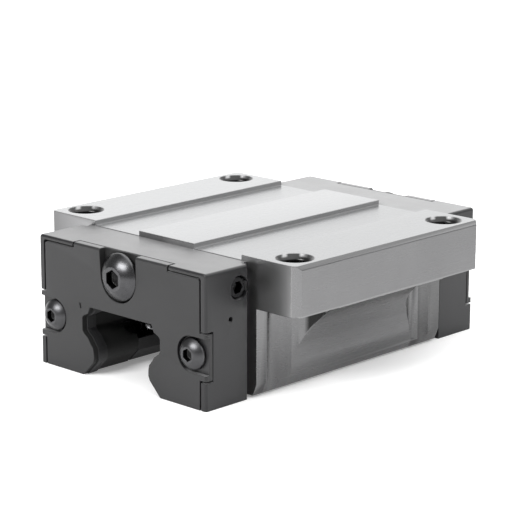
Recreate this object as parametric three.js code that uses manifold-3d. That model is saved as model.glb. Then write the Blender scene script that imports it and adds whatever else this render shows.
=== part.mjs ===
// Linear guide carriage, size 20, flanged, with four circuits of recirculating balls.
// Millimetres. X runs across the rail, Y along it and Z up.
// The origin is under the middle of the carriage, level with the bottom of its end caps.
import * as THREE from 'three';
import { mergeVertices } from 'three/addons/utils/BufferGeometryUtils.js';
import Module from 'manifold-3d';

const wasm = await Module();
wasm.setup();

// ---------------------------------------------------------------- driving dimensions

const GAP = 0.3; // clearance between neighbouring pieces

// Steel body
const BODY_LENGTH = 49.6;
const FLANGE_WIDTH = 63;
const PAD_TOP = 25;
const STRIP_TOP = 24.1;
const CENTRE_PAD_HALF_WIDTH = 7;
const SIDE_PAD_INNER_X = 18.5;
const FLANGE_EDGE_CHAMFER = 0.7;
const FLANGE_CORNER_CHAMFER = 1.3;
const BODY_SIDE_X = 22.2;
const BODY_BOTTOM = 0.4;
const BOTTOM_CHAMFER_WIDTH = 0.9;
const BOTTOM_CHAMFER_HEIGHT = 2.2;
const SWEEP_RADIUS = 11.8; // hollow under the flange
const SWEEP_CENTRE_Z = 4.4;
const FLANGE_UNDERSIDE = 16;
const CEILING_Z = 14;

// Fixing holes in the flange, M6, which an M5 screw also passes from below
const HOLE_SPACING_X = 53;
const HOLE_SPACING_Y = 40;
const FIXING_HOLE_RADIUS = 2.55;
const COUNTERSINK_RADIUS = 3.4;

// Relief milled up to the flange under each fixing hole, as two overlapping rounds
const OUTER_RELIEF = { x: 26.6, y: 20, radius: 4.9 };
const INNER_RELIEF = { x: 27.2, y: 17, radius: 5.1 };

// Balls and their paths; a circuit runs out along the raceway and back along the return bore
const BALL_RADIUS = 1.985;
const BALLS_PER_STRAND = 11;
const BALL_PITCH = 3.88;
const UPPER_RACEWAY = [10.1, 12.7];
const LOWER_RACEWAY = [10.1, 5.7];
const UPPER_RETURN = [16, 15];
const LOWER_RETURN = [16, 4.4];
const CHANNEL_RADIUS = 2.25;
const RETURN_TUBE_RADIUS = 2.7;

// Channel that the rail runs through
const RETAINER_RADIUS = 2.3; // hollow of the retainers round the balls
const RETAINER_WALL_X = 12.4;
const LEG_INNER_X = 10.6;

// End caps
const CAP_HALF_WIDTH = 21.2;
const CAP_TOP = 24;
const CAP_FRONT_Y = -36;
const CAP_REAR_Y = -(BODY_LENGTH / 2 + GAP);
const CAP_NECK_DEPTH = 0.8; // groove between cap and body
const CAP_NECK_INSET = 0.6; // at the sides only
const CAP_CORNER = 0.6;

// Front plate, let into the cap
const PLATE_THICKNESS = 1.6;
const PLATE_HALF_WIDTH = 19.65;
const PLATE_SHOULDER_Z = 22.9;
const PLATE_RAISED_HALF_WIDTH = 11.9;
const PLATE_CORNER = 0.5;
const PLATE_SEAM = 0.25;
const EAR_LOW_Z = 5.3;
const EAR_HIGH_Z = 13.5;
const POCKET_DEPTH = 1;

// Wiper seal behind the plate
const SEAL_THICKNESS = 1.2;
const SEAL_HALF_WIDTH = 13.4;
const SEAL_TOP = 16;

// Screws
const PLATE_SCREW = { x: 17.5, z: 9.5, radius: 1.5, headRadius: 2.85, headHeight: 1.65, socket: 2 };
const PLATE_SCREW_LENGTH = 15;
const PLATE_POCKET_RADIUS = 3.2;
const PLUG_SCREW = { x: 0, z: 19.5, radius: 2.5, headRadius: 4.35, headHeight: 2.2, socket: 3 };
const PLUG_SCREW_LENGTH = 7;
const PLUG_POCKET_RADIUS = 4.8;
const HEAD_LIFT = 0.2; // head above its pocket floor
const PORT = { y: -28, z: 20.25, radius: 2, length: 4, socket: 2 };
const GALLERY_RADIUS = 1;
const FEED_RADIUS = 0.8;
const PIN_HOLE = { y: -30.1, z: 15.1, radius: 0.45, depth: 3 };

// ---------------------------------------------------------------- materials

function material(color, roughness, metalness) {
  return new THREE.MeshStandardMaterial({ color, roughness, metalness });
}

const GROUND_STEEL = material(0x9a9b9e, 0.35, 1);
const DARK_PLASTIC = material(0x3a3b3d, 0.5, 0);
const BLACK_PLASTIC = material(0x17181a, 0.5, 0);
const BLACK_RUBBER = material(0x101112, 0.8, 0);
const SCREW_STEEL = material(0x55565a, 0.3, 1);
const BALL_STEEL = material(0xc4c6ca, 0.12, 1);

// ---------------------------------------------------------------- geometry helpers

// Outlines are lists of [x, z] points, drawn in the plane across the rail.
function arc([centreX, centreZ], radius, startDegrees, endDegrees, steps) {
  const points = [];
  for (let i = 0; i <= steps; i += 1) {
    const angle = THREE.MathUtils.degToRad(startDegrees + ((endDegrees - startDegrees) * i) / steps);
    points.push([centreX + radius * Math.cos(angle), centreZ + radius * Math.sin(angle)]);
  }
  return points;
}

function mirrorPoints(points) {
  return points.map(([x, z]) => [-x, z]);
}

// A right-hand half outline, from the centre line round to the centre line, and its mirror image.
function bothSides(half) {
  return [...half, ...mirrorPoints(half).reverse()];
}

function shapeOf(points) {
  return new THREE.Shape(points.map(([x, z]) => new THREE.Vector2(x, z)));
}

function extrudeAlongY(shape, yLow, yHigh) {
  const geometry = new THREE.ExtrudeGeometry(shape, { depth: yHigh - yLow, bevelEnabled: false });
  geometry.rotateX(Math.PI / 2);
  geometry.translate(0, yHigh, 0);
  return geometry;
}

function extrudePoints(points, yLow, yHigh) {
  return extrudeAlongY(shapeOf(points), yLow, yHigh);
}

function box(xLow, xHigh, yLow, yHigh, zLow, zHigh) {
  const geometry = new THREE.BoxGeometry(xHigh - xLow, yHigh - yLow, zHigh - zLow);
  geometry.translate((xLow + xHigh) / 2, (yLow + yHigh) / 2, (zLow + zHigh) / 2);
  return geometry;
}

function rod(radius, from, to, segments = 16, endRadius = radius) {
  const start = new THREE.Vector3(...from);
  const end = new THREE.Vector3(...to);
  const direction = end.clone().sub(start);
  const geometry = new THREE.CylinderGeometry(endRadius, radius, direction.length(), segments);
  const turn = new THREE.Quaternion().setFromUnitVectors(
    new THREE.Vector3(0, 1, 0),
    direction.clone().normalize(),
  );
  geometry.applyQuaternion(turn);
  const middle = start.add(end).multiplyScalar(0.5);
  geometry.translate(middle.x, middle.y, middle.z);
  return geometry;
}

function solidOf(geometry) {
  const bare = geometry.clone();
  bare.deleteAttribute('normal');
  bare.deleteAttribute('uv');
  const merged = mergeVertices(bare);
  return new wasm.Manifold(new wasm.Mesh({
    numProp: 3,
    vertProperties: new Float32Array(merged.attributes.position.array),
    triVerts: new Uint32Array(merged.index.array),
  }));
}

function geometryOf(solid) {
  const mesh = solid.getMesh();
  const geometry = new THREE.BufferGeometry();
  geometry.setAttribute('position', new THREE.BufferAttribute(mesh.vertProperties, 3));
  geometry.setIndex(new THREE.BufferAttribute(mesh.triVerts, 1));
  return geometry;
}

function join(pieces) {
  return geometryOf(pieces.map(solidOf).reduce((whole, piece) => whole.add(piece)));
}

function carve(geometry, cutters) {
  return geometryOf(cutters.map(solidOf).reduce((rest, cutter) => rest.subtract(cutter), solidOf(geometry)));
}

function mesh(name, geometry, look) {
  const piece = new THREE.Mesh(geometry, look);
  piece.name = name;
  return piece;
}

// ---------------------------------------------------------------- steel body

// Right-hand half of the body's section, from the middle of its top to the middle of its ceiling.
function bodyHalfSection() {
  const edge = FLANGE_WIDTH / 2;
  const sweepCentre = [BODY_SIDE_X + SWEEP_RADIUS, SWEEP_CENTRE_Z];
  const sweepStart = THREE.MathUtils.radToDeg(Math.acos((edge - sweepCentre[0]) / SWEEP_RADIUS));
  const grooveStart = THREE.MathUtils.radToDeg(
    Math.acos((LEG_INNER_X - LOWER_RACEWAY[0]) / CHANNEL_RADIUS),
  );
  return [
    [CENTRE_PAD_HALF_WIDTH, PAD_TOP],
    [CENTRE_PAD_HALF_WIDTH, STRIP_TOP],
    [SIDE_PAD_INNER_X, STRIP_TOP],
    [SIDE_PAD_INNER_X, PAD_TOP],
    [edge - FLANGE_EDGE_CHAMFER, PAD_TOP],
    [edge, PAD_TOP - FLANGE_EDGE_CHAMFER],
    ...arc(sweepCentre, SWEEP_RADIUS, sweepStart, 180, 14),
    [BODY_SIDE_X, BODY_BOTTOM + BOTTOM_CHAMFER_HEIGHT],
    [BODY_SIDE_X - BOTTOM_CHAMFER_WIDTH, BODY_BOTTOM],
    [LEG_INNER_X, BODY_BOTTOM],
    ...arc(LOWER_RACEWAY, CHANNEL_RADIUS, -grooveStart, 8, 10),
    [RETAINER_WALL_X, LOWER_RACEWAY[1] + 0.6],
    [RETAINER_WALL_X, UPPER_RACEWAY[1] - 0.6],
    ...arc(UPPER_RACEWAY, CHANNEL_RADIUS, -8, 98, 12),
    [5.4, UPPER_RACEWAY[1] + CHANNEL_RADIUS],
    [5.4, CEILING_Z],
  ];
}

function fixingHoleCutters(x, y) {
  const sinkDepth = COUNTERSINK_RADIUS - FIXING_HOLE_RADIUS;
  return [
    rod(FIXING_HOLE_RADIUS, [x, y, 0], [x, y, PAD_TOP + 1], 24),
    rod(
      FIXING_HOLE_RADIUS - 0.1,
      [x, y, PAD_TOP - sinkDepth - 0.1],
      [x, y, PAD_TOP + 0.1],
      24,
      COUNTERSINK_RADIUS + 0.1,
    ),
  ];
}

// Under each fixing hole the hollow is milled flat, from the relief to the end of the body.
function screwReliefCutters(side, end) {
  const outerX = FLANGE_WIDTH / 2 + 1;
  const wall = new THREE.Shape([
    new THREE.Vector2(OUTER_RELIEF.x - OUTER_RELIEF.radius, OUTER_RELIEF.y),
    new THREE.Vector2(INNER_RELIEF.x - INNER_RELIEF.radius, INNER_RELIEF.y),
    new THREE.Vector2(outerX, INNER_RELIEF.y),
    new THREE.Vector2(outerX, OUTER_RELIEF.y),
  ]);
  const between = new THREE.ExtrudeGeometry(wall, {
    depth: FLANGE_UNDERSIDE + 1,
    bevelEnabled: false,
  });
  between.translate(0, 0, -1);
  const cutters = [
    between,
    box(BODY_SIDE_X, outerX, OUTER_RELIEF.y, BODY_LENGTH / 2 + 1, -1, FLANGE_UNDERSIDE),
  ];
  for (const { x, y, radius } of [OUTER_RELIEF, INNER_RELIEF]) {
    cutters.push(rod(radius, [x, y, -1], [x, y, FLANGE_UNDERSIDE], 36));
  }
  return cutters.map((cutter) => placedInCorner(cutter, side, end));
}

// Moves a shape from the corner at +X +Y to the one at side, end, by turning it or by mirroring it.
function placedInCorner(geometry, side, end) {
  if (side === end) {
    if (side < 0) geometry.rotateZ(Math.PI);
    return geometry;
  }
  const flat = geometry.index ? geometry.toNonIndexed() : geometry;
  flat.scale(side, end, 1);
  const position = flat.getAttribute('position');
  for (let i = 0; i < position.count; i += 3) {
    const second = new THREE.Vector3().fromBufferAttribute(position, i + 1);
    const third = new THREE.Vector3().fromBufferAttribute(position, i + 2);
    position.setXYZ(i + 1, third.x, third.y, third.z);
    position.setXYZ(i + 2, second.x, second.y, second.z);
  }
  return flat;
}

function flangeCornerCutter(side, end) {
  const reach = 3; // half the cutter's width, more than the chamfer
  const cutter = box(-reach, reach, -reach, reach, BODY_BOTTOM, PAD_TOP + 1);
  cutter.rotateZ(Math.PI / 4);
  const cornerX = FLANGE_WIDTH / 2 - FLANGE_CORNER_CHAMFER / 2 + reach * Math.SQRT1_2;
  const cornerY = BODY_LENGTH / 2 - FLANGE_CORNER_CHAMFER / 2 + reach * Math.SQRT1_2;
  cutter.translate(side * cornerX, end * cornerY, 0);
  return cutter;
}

function carriageBody() {
  const halfLength = BODY_LENGTH / 2;
  const blank = extrudePoints(bothSides(bodyHalfSection()), -halfLength, halfLength);
  const cutters = [];
  for (const side of [-1, 1]) {
    for (const [x, z] of [UPPER_RETURN, LOWER_RETURN]) {
      const radius = RETURN_TUBE_RADIUS + GAP;
      cutters.push(rod(radius, [side * x, -halfLength - 1, z], [side * x, halfLength + 1, z], 18));
    }
    for (const end of [-1, 1]) {
      const x = (side * HOLE_SPACING_X) / 2;
      const y = (end * HOLE_SPACING_Y) / 2;
      cutters.push(...fixingHoleCutters(x, y));
      cutters.push(...screwReliefCutters(side, end));
      cutters.push(flangeCornerCutter(side, end));
      cutters.push(rod(
        PLATE_SCREW.radius + GAP,
        [side * PLATE_SCREW.x, end * (halfLength + 1), PLATE_SCREW.z],
        [side * PLATE_SCREW.x, end * (halfLength - 6), PLATE_SCREW.z],
      ));
    }
  }
  return mesh('carriage_body', carve(blank, cutters), GROUND_STEEL);
}

// ---------------------------------------------------------------- ball guides in the body

function upperRetainer(side) {
  const top = UPPER_RACEWAY[1] + CHANNEL_RADIUS - GAP;
  return [
    [side * 5.7, 13.1],
    [side * 5.7, top],
    ...arc(UPPER_RACEWAY, RETAINER_RADIUS, 122, 175, 6).map(([x, z]) => [side * x, z]),
    [side * 7.5, 12.95],
  ];
}

function middleRetainer(side) {
  const halfAngle = THREE.MathUtils.radToDeg(
    Math.acos((RETAINER_WALL_X - GAP - UPPER_RACEWAY[0]) / RETAINER_RADIUS),
  );
  return [
    ...arc(UPPER_RACEWAY, RETAINER_RADIUS, -halfAngle, -85, 6),
    ...arc(LOWER_RACEWAY, RETAINER_RADIUS, 85, halfAngle, 6),
  ].map(([x, z]) => [side * x, z]);
}

// The lower retainer ends in a lip that seals against the waist of the rail.
function lowerRetainer(side) {
  const outer = LEG_INNER_X - GAP;
  return [
    [outer, 0.7],
    [9.9, 0.7],
    [7.5, 2.7],
    [7.35, 4.9],
    ...arc(LOWER_RACEWAY, RETAINER_RADIUS, 202, 274, 7),
  ].map(([x, z]) => [side * x, z]);
}

function returnTube([x, z], side) {
  const shape = new THREE.Shape();
  shape.absarc(side * x, z, RETURN_TUBE_RADIUS, 0, 2 * Math.PI);
  const bore = new THREE.Path();
  bore.absarc(side * x, z, CHANNEL_RADIUS, 0, 2 * Math.PI);
  shape.holes.push(bore);
  const length = BODY_LENGTH;
  const geometry = new THREE.ExtrudeGeometry(shape, {
    depth: length,
    bevelEnabled: false,
    curveSegments: 10,
  });
  geometry.rotateX(Math.PI / 2);
  geometry.translate(0, length / 2, 0);
  return geometry;
}

// The balls of a strand stand in contact, so neighbours share a small flat.
function ballStrand([x, z], side) {
  const balls = [];
  for (let i = 0; i < BALLS_PER_STRAND; i += 1) {
    const ball = new THREE.SphereGeometry(BALL_RADIUS, 6, 4);
    ball.translate(side * x, (i - (BALLS_PER_STRAND - 1) / 2) * BALL_PITCH, z);
    balls.push(ball);
  }
  return join(balls);
}

// ---------------------------------------------------------------- ball turns in the end caps

// A turn carries the balls in a half circle from a raceway to its return bore.
function turnFrame(raceway, returnBore, side) {
  const from = new THREE.Vector3(side * raceway[0], 0, raceway[1]);
  const to = new THREE.Vector3(side * returnBore[0], 0, returnBore[1]);
  const across = to.clone().sub(from);
  const centre = from.clone().add(to).multiplyScalar(0.5);
  centre.y = CAP_REAR_Y;
  const radius = across.length() / 2;
  across.normalize();
  const axis = new THREE.Vector3().crossVectors(across, new THREE.Vector3(0, 1, 0));
  return { centre, radius, across, axis };
}

function turnChannel({ centre, radius, across, axis }) {
  const geometry = new THREE.TorusGeometry(radius, CHANNEL_RADIUS, 10, 18);
  const basis = new THREE.Matrix4().makeBasis(across, new THREE.Vector3(0, 1, 0), axis);
  geometry.applyMatrix4(basis);
  geometry.translate(centre.x, centre.y, centre.z);
  return geometry;
}

function turnDrum({ centre, radius, axis }, extraRadius, halfLength) {
  const start = centre.clone().addScaledVector(axis, -halfLength);
  const end = centre.clone().addScaledVector(axis, halfLength);
  return rod(radius + extraRadius, start.toArray(), end.toArray(), 20);
}

const CIRCUITS = [
  { name: 'upper', raceway: UPPER_RACEWAY, returnBore: UPPER_RETURN },
  { name: 'lower', raceway: LOWER_RACEWAY, returnBore: LOWER_RETURN },
];
const GUIDE_DRUM_HALF_LENGTH = 2.6;
const GUIDE_WEB = { low: 12.3, high: 13.8, bottom: 5, top: 14, depth: 1.8 };

function guideWeb(side, growth) {
  const x = [side * (GUIDE_WEB.low - growth), side * (GUIDE_WEB.high + growth)];
  return box(
    Math.min(...x),
    Math.max(...x),
    CAP_REAR_Y - GUIDE_WEB.depth - growth,
    CAP_REAR_Y + 1,
    GUIDE_WEB.bottom,
    GUIDE_WEB.top,
  );
}

// Insert that forms the inner half of both turns on one side of an end cap.
function returnGuide(side) {
  const frames = CIRCUITS.map(({ raceway, returnBore }) => turnFrame(raceway, returnBore, side));
  const drums = frames.map((frame) => turnDrum(frame, 0, GUIDE_DRUM_HALF_LENGTH));
  const whole = join([...drums, guideWeb(side, 0)]);
  const channels = frames.map(turnChannel);
  const bodySide = box(-30, 30, CAP_REAR_Y - GAP, CAP_REAR_Y + 8, -5, 30);
  return carve(whole, [...channels, bodySide]);
}

// ---------------------------------------------------------------- end cap, plate and seal

// Right-hand half of the channel for the rail, from its top to the bottom of the leg.
function railChannel(growth) {
  return [
    [7.9 + growth, 12.8 + growth],
    [8.45 + growth, 11.5 + growth / 2],
    [9.5 + growth, 11.05 + growth / 2],
    [9.95 + growth, 10.6],
    [9.95 + growth, 8.3],
    [9.5 + growth, 7.75],
    [8.5 + growth, 7.05],
    [7.9 + growth, 6.2],
    [7.2 + growth, 5.4],
    [7 + growth, 4.4],
    [7 + growth, 3.4],
    [7.35 + growth, 2.6],
    [9.95 + growth, 0],
  ];
}

// Closed outline from a right-hand outer half, going down, and the rail channel, going up.
function archOutline(outerHalf, growth) {
  return bothSides([...outerHalf, ...railChannel(growth).reverse()]);
}

function capOuterHalf(sideInset) {
  const side = CAP_HALF_WIDTH - sideInset;
  return [
    [side - CAP_CORNER, CAP_TOP],
    [side, CAP_TOP - CAP_CORNER],
    [side, 0],
  ];
}

function plateOuterHalf(seam) {
  const side = PLATE_HALF_WIDTH + seam;
  const shoulder = PLATE_SHOULDER_Z + seam;
  const raised = PLATE_RAISED_HALF_WIDTH + seam;
  const outside = CAP_HALF_WIDTH + (seam > 0 ? 1 : 0);
  const bottom = seam > 0 ? -1 : 0;
  return [
    [raised, CAP_TOP + (seam > 0 ? 1 : 0)],
    [raised, shoulder],
    [side - PLATE_CORNER, shoulder],
    [side, shoulder - PLATE_CORNER],
    [side, EAR_HIGH_Z + seam],
    [outside, EAR_HIGH_Z + seam],
    [outside, EAR_LOW_Z - seam],
    [side, EAR_LOW_Z - seam],
    [side, bottom],
  ];
}

function plateRecess() {
  const outline = bothSides([...plateOuterHalf(PLATE_SEAM), [0, -1]]);
  return extrudePoints(outline, CAP_FRONT_Y - 1, CAP_FRONT_Y + PLATE_THICKNESS + GAP);
}

function sealOuterHalf(growth) {
  return [
    [SEAL_HALF_WIDTH + growth - 1.5, SEAL_TOP + growth],
    [SEAL_HALF_WIDTH + growth, SEAL_TOP + growth - 1.5],
    [SEAL_HALF_WIDTH + growth, growth > 0 ? -1 : 0.3],
  ];
}

function sealRecess() {
  const outline = bothSides([...sealOuterHalf(GAP), [0, -1]]);
  const low = CAP_FRONT_Y + PLATE_THICKNESS + GAP / 2;
  return extrudePoints(outline, low, CAP_FRONT_Y + PLATE_THICKNESS + SEAL_THICKNESS + 2 * GAP);
}

function lubricationCutters() {
  const plugBore = PLUG_SCREW.radius + GAP;
  const cutters = [
    rod(plugBore, [PLUG_SCREW.x, CAP_FRONT_Y - 1, PLUG_SCREW.z], [PLUG_SCREW.x, -26.5, PLUG_SCREW.z]),
    rod(GALLERY_RADIUS, [-CAP_HALF_WIDTH - 1, PORT.y, PORT.z], [CAP_HALF_WIDTH + 1, PORT.y, PORT.z], 12),
  ];
  for (const side of [-1, 1]) {
    const turn = turnFrame(UPPER_RACEWAY, UPPER_RETURN, side);
    const feedX = turn.centre.x;
    const feedY = turn.centre.y - turn.radius;
    cutters.push(rod(FEED_RADIUS, [feedX, feedY, PORT.z], [feedX, feedY, turn.centre.z], 10));
    cutters.push(rod(
      PORT.radius + GAP,
      [side * (CAP_HALF_WIDTH + 1), PORT.y, PORT.z],
      [side * (CAP_HALF_WIDTH - PORT.length - 1), PORT.y, PORT.z],
      24,
    ));
    cutters.push(rod(
      PIN_HOLE.radius,
      [side * (CAP_HALF_WIDTH + 1), PIN_HOLE.y, PIN_HOLE.z],
      [side * (CAP_HALF_WIDTH - PIN_HOLE.depth), PIN_HOLE.y, PIN_HOLE.z],
      12,
    ));
  }
  return cutters;
}

function ballTurnCutters() {
  const cutters = [];
  for (const side of [-1, 1]) {
    for (const { raceway, returnBore } of CIRCUITS) {
      const frame = turnFrame(raceway, returnBore, side);
      cutters.push(turnChannel(frame));
      cutters.push(turnDrum(frame, GAP, GUIDE_DRUM_HALF_LENGTH + GAP));
    }
    cutters.push(guideWeb(side, GAP));
    cutters.push(rod(
      PLATE_SCREW.radius + GAP,
      [side * PLATE_SCREW.x, CAP_FRONT_Y - 1, PLATE_SCREW.z],
      [side * PLATE_SCREW.x, CAP_REAR_Y + 1, PLATE_SCREW.z],
    ));
  }
  return cutters;
}

function endCap() {
  const neckY = CAP_REAR_Y - CAP_NECK_DEPTH;
  const blank = join([
    extrudePoints(archOutline(capOuterHalf(0), GAP), CAP_FRONT_Y, neckY),
    extrudePoints(archOutline(capOuterHalf(CAP_NECK_INSET), GAP), neckY - 1, CAP_REAR_Y),
  ]);
  return carve(blank, [plateRecess(), sealRecess(), ...lubricationCutters(), ...ballTurnCutters()]);
}

// A screw pocket is round on the inside and runs out through one edge of the plate.
function sidePocket(side) {
  const centre = [PLATE_SCREW.x, PLATE_SCREW.z];
  const outline = [
    ...arc(centre, PLATE_POCKET_RADIUS, 90, 270, 16),
    [CAP_HALF_WIDTH + 1, PLATE_SCREW.z - PLATE_POCKET_RADIUS],
    [CAP_HALF_WIDTH + 1, PLATE_SCREW.z + PLATE_POCKET_RADIUS],
  ].map(([x, z]) => [side * x, z]);
  return extrudePoints(outline, CAP_FRONT_Y - 1, CAP_FRONT_Y + POCKET_DEPTH);
}

function topPocket() {
  const outline = [
    ...arc([PLUG_SCREW.x, PLUG_SCREW.z], PLUG_POCKET_RADIUS, 180, 360, 20),
    [PLUG_POCKET_RADIUS, CAP_TOP + 1],
    [-PLUG_POCKET_RADIUS, CAP_TOP + 1],
  ];
  return extrudePoints(outline, CAP_FRONT_Y - 1, CAP_FRONT_Y + POCKET_DEPTH);
}

function frontPlate() {
  const back = CAP_FRONT_Y + PLATE_THICKNESS;
  const blank = extrudePoints(archOutline(plateOuterHalf(0), 0), CAP_FRONT_Y, back);
  const cutters = [topPocket()];
  cutters.push(rod(
    PLUG_SCREW.radius + GAP,
    [PLUG_SCREW.x, CAP_FRONT_Y - 1, PLUG_SCREW.z],
    [PLUG_SCREW.x, back + 1, PLUG_SCREW.z],
  ));
  for (const side of [-1, 1]) {
    cutters.push(sidePocket(side));
    cutters.push(rod(
      PLATE_SCREW.radius + GAP,
      [side * PLATE_SCREW.x, CAP_FRONT_Y - 1, PLATE_SCREW.z],
      [side * PLATE_SCREW.x, back + 1, PLATE_SCREW.z],
    ));
  }
  return carve(blank, cutters);
}

// The seal's lip stands a little inside the plate, so it wipes the rail first.
function endSeal() {
  const low = CAP_FRONT_Y + PLATE_THICKNESS + GAP;
  return extrudePoints(archOutline(sealOuterHalf(0), -0.25), low, low + SEAL_THICKNESS);
}

// ---------------------------------------------------------------- screws

// A button head screw stands on its point along +Y, with its head towards -Y.
function buttonScrew({ x, z, radius, headRadius, headHeight, socket }, length) {
  const profile = [
    [0, -length],
    [radius - 0.4, -length],
    [radius, -length + 0.4],
    [radius, 0],
    [headRadius, 0],
    [headRadius, headHeight * 0.18],
    [headRadius * 0.9, headHeight * 0.52],
    [headRadius * 0.72, headHeight * 0.82],
    [headRadius * 0.5, headHeight],
    [0, headHeight],
  ].map(([r, h]) => new THREE.Vector2(r, h));
  const body = new THREE.LatheGeometry(profile, 18);
  const key = new THREE.CylinderGeometry(socket / Math.sqrt(3), socket / Math.sqrt(3), headHeight, 6);
  key.translate(0, headHeight * 0.9, 0);
  const screw = carve(body, [key]);
  screw.rotateX(Math.PI);
  screw.translate(x, CAP_FRONT_Y + POCKET_DEPTH - HEAD_LIFT, z);
  return screw;
}

function portPlug(side) {
  const outer = CAP_HALF_WIDTH - 0.4;
  const inner = outer - PORT.length;
  const body = rod(PORT.radius, [side * inner, PORT.y, PORT.z], [side * outer, PORT.y, PORT.z], 20);
  const keyRadius = PORT.socket / Math.sqrt(3);
  const key = rod(keyRadius, [side * (outer - 1.8), PORT.y, PORT.z], [side * (outer + 1), PORT.y, PORT.z], 6);
  return carve(body, [key]);
}

// ---------------------------------------------------------------- assembly

const SIDES = [['left', -1], ['right', 1]];

function endAssembly(end) {
  const group = new THREE.Group();
  group.add(mesh(`${end}_end_cap`, endCap(), DARK_PLASTIC));
  group.add(mesh(`${end}_plate`, frontPlate(), DARK_PLASTIC));
  group.add(mesh(`${end}_wiper_seal`, endSeal(), BLACK_RUBBER));
  group.add(mesh(`${end}_lube_plug_screw`, buttonScrew(PLUG_SCREW, PLUG_SCREW_LENGTH), SCREW_STEEL));
  for (const [hand, side] of SIDES) {
    const place = { ...PLATE_SCREW, x: side * PLATE_SCREW.x };
    group.add(mesh(`${end}_plate_screw_${hand}`, buttonScrew(place, PLATE_SCREW_LENGTH), SCREW_STEEL));
    group.add(mesh(`${end}_port_plug_${hand}`, portPlug(side), SCREW_STEEL));
    group.add(mesh(`${end}_return_guide_${hand}`, returnGuide(side), BLACK_PLASTIC));
  }
  return group;
}

function ballPaths(hand, side) {
  const group = new THREE.Group();
  const strip = (points) => extrudePoints(points, -BODY_LENGTH / 2, BODY_LENGTH / 2);
  group.add(mesh(`upper_retainer_${hand}`, strip(upperRetainer(side)), BLACK_PLASTIC));
  group.add(mesh(`middle_retainer_${hand}`, strip(middleRetainer(side)), BLACK_PLASTIC));
  group.add(mesh(`lower_seal_strip_${hand}`, strip(lowerRetainer(side)), BLACK_RUBBER));
  for (const { name, raceway, returnBore } of CIRCUITS) {
    group.add(mesh(`${name}_return_tube_${hand}`, returnTube(returnBore, side), BLACK_PLASTIC));
    group.add(mesh(`${name}_loaded_balls_${hand}`, ballStrand(raceway, side), BALL_STEEL));
    group.add(mesh(`${name}_returning_balls_${hand}`, ballStrand(returnBore, side), BALL_STEEL));
  }
  return group;
}

const carriage = new THREE.Group();
carriage.add(carriageBody());
for (const [hand, side] of SIDES) {
  carriage.add(ballPaths(hand, side));
}
carriage.add(endAssembly('front'));
const rearEnd = endAssembly('rear');
rearEnd.rotation.z = Math.PI;
carriage.add(rearEnd);

export default carriage;
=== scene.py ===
"""Looks of the linear guide carriage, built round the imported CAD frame.

Sizes in the modelling sections are millimetres, as in the CAD; finished meshes are scaled to metres.
X runs across the rail, Y along it and Z up.
"""
import math

import bmesh
import bpy
from mathutils import Matrix, Vector


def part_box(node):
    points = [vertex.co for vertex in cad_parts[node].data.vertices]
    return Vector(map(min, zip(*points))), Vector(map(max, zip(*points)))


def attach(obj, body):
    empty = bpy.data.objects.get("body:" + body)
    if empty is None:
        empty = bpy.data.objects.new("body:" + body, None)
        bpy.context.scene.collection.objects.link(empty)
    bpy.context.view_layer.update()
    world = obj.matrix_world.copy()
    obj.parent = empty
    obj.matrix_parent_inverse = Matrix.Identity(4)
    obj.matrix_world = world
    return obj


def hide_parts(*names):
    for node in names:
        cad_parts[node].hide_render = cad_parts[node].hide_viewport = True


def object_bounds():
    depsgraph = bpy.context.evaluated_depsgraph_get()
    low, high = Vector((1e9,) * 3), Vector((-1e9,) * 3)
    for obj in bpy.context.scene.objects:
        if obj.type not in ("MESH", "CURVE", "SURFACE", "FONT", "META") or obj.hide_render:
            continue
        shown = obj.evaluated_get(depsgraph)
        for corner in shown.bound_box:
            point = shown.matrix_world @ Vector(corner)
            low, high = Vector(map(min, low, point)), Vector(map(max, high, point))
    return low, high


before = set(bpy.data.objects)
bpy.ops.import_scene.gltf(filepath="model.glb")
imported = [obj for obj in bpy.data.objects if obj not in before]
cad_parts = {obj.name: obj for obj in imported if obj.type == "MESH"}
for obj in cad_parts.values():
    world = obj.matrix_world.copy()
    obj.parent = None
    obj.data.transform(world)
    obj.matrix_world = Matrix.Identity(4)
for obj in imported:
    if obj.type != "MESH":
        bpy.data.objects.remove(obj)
cad_low, cad_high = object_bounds()

MM = 0.001
SCENE = bpy.context.scene

# -------------------- camera

CAMERA_AZIMUTH = 43.79
CAMERA_ELEVATION = 13.94
CAMERA_ROLL = 0.16
CAMERA_DISTANCE = 418.5
CAMERA_TARGET = (-25.10, 24.08, 8.70)
CAMERA_LENS = 145.55


def add_camera():
    azimuth = math.radians(CAMERA_AZIMUTH)
    elevation = math.radians(CAMERA_ELEVATION)
    back = Vector((
        math.sin(azimuth) * math.cos(elevation),
        -math.cos(azimuth) * math.cos(elevation),
        math.sin(elevation),
    ))
    data = bpy.data.cameras.new("camera")
    data.lens = CAMERA_LENS
    data.sensor_width = 36
    data.clip_start = 0.01
    data.clip_end = 20
    camera = bpy.data.objects.new("camera", data)
    camera.location = (Vector(CAMERA_TARGET) + back * CAMERA_DISTANCE) * MM
    camera.rotation_mode = "QUATERNION"
    roll = Matrix.Rotation(math.radians(CAMERA_ROLL), 3, back).to_quaternion()
    camera.rotation_quaternion = roll @ (-back).to_track_quat("-Z", "Y")
    SCENE.collection.objects.link(camera)
    SCENE.camera = camera


add_camera()

# -------------------- dimensions, in millimetres


def corners_of(node):
    """Lowest and highest corner of a CAD node."""
    return [[round(value / MM, 3) for value in corner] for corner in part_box(node)]


def size_of(node):
    """Size of a CAD node along X, Y and Z."""
    return [round(high - low, 3) for low, high in zip(*corners_of(node))]


def middle_of(node):
    """Middle of a CAD node."""
    return [round((high + low) / 2, 3) for low, high in zip(*corners_of(node))]


def section_middle_of(node):
    """Middle of a CAD node seen along the rail, as [x, z]."""
    return middle_of(node)[::2]


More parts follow.
